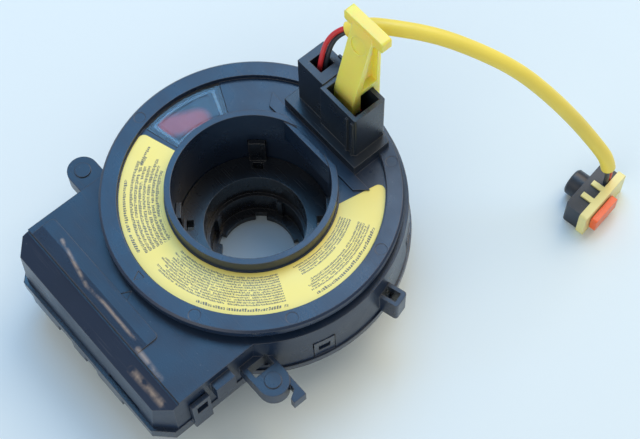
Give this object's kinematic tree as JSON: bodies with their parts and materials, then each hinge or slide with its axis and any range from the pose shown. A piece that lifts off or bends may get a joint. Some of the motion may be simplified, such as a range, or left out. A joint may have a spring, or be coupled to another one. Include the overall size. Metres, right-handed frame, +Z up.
{
  "type": "steering clock spring",
  "caption": "Round clock spring with a turning disc and hub, socket tower, pull-out lock key, connector block and a short airbag lead with its plug.",
  "frame": {"origin": "centre of the column bore in the underside of the hub, on the table plane", "axes": "+Z up the steering axis, -Y towards the harness connector block, +Y towards the socket tower"},
  "size_m": [0.1284, 0.1857, 0.1018],
  "materials": {
    "case_black": "fine satin moulding, black with a cool sheen",
    "rotor_black": "fine satin moulding, black",
    "hub_black": "smooth bearing-grade moulding, black",
    "plug_black": "satin moulding, charcoal",
    "clear_lens": "clear polished moulding",
    "flag_red": "red moulded flag behind the lens",
    "label_yellow": "printed film, pale yellow, bare",
    "key_yellow": "smooth yellow moulding, slightly translucent",
    "sleeve_yellow": "soft satin yellow tube",
    "plug_yellow": "smooth pale yellow moulding",
    "lock_orange": "bright orange-red moulding",
    "red_insulation": "satin insulation",
    "black_insulation": "satin insulation",
    "terminal_metal": "tin-plated brass",
    "ribbon_film": "flat cable, clear film over tinned tracks",
    "slide_film": "thin slippery film"
  },
  "bodies": {
    "stator": {"upper_case": "case_black", "lower_cover": "case_black", "slide_sheet": "slide_film", "connector_body": "case_black", "terminal_carrier": "case_black", "column_terminals": "terminal_metal", "airbag_terminals": "terminal_metal", "ribbon_cable": "ribbon_film", "ribbon_outer_joint": "case_black"},
    "rotor": {"rotor_plate": "rotor_black", "hub_sleeve": "hub_black", "ribbon_inner_joint": "case_black", "window_lens": "clear_lens", "neutral_flag": "flag_red", "label_film": "label_yellow", "socket_tower": "rotor_black", "tower_terminals": "terminal_metal", "lead_retainer": "case_black", "red_wire": "red_insulation", "black_wire": "black_insulation", "lead_sleeve": "sleeve_yellow", "red_wire_tail": "red_insulation", "black_wire_tail": "black_insulation", "squib_body": "plug_black", "squib_cover": "plug_yellow", "squib_contacts": "terminal_metal"},
    "key": {"lock_key": "key_yellow"},
    "plug_lock": {"squib_lock": "lock_orange"}
  },
  "joints": [
    {"name": "rotor_turn", "type": "hinge", "parent": "stator", "child": "rotor", "pos_m": [0, 0, 0], "axis": [0, 0, 1], "range_deg": [-900, 900], "deforming": ["ribbon_cable"]},
    {"name": "key_pull", "type": "slide", "parent": "rotor", "child": "key", "axis": [0, 0, 1], "range_m": [0, 0.03]},
    {"name": "plug_lock_slide", "type": "slide", "parent": "rotor", "child": "plug_lock", "axis": [0.9898, 0.1426, 0], "range_m": [0, 0.002]}
  ]
}
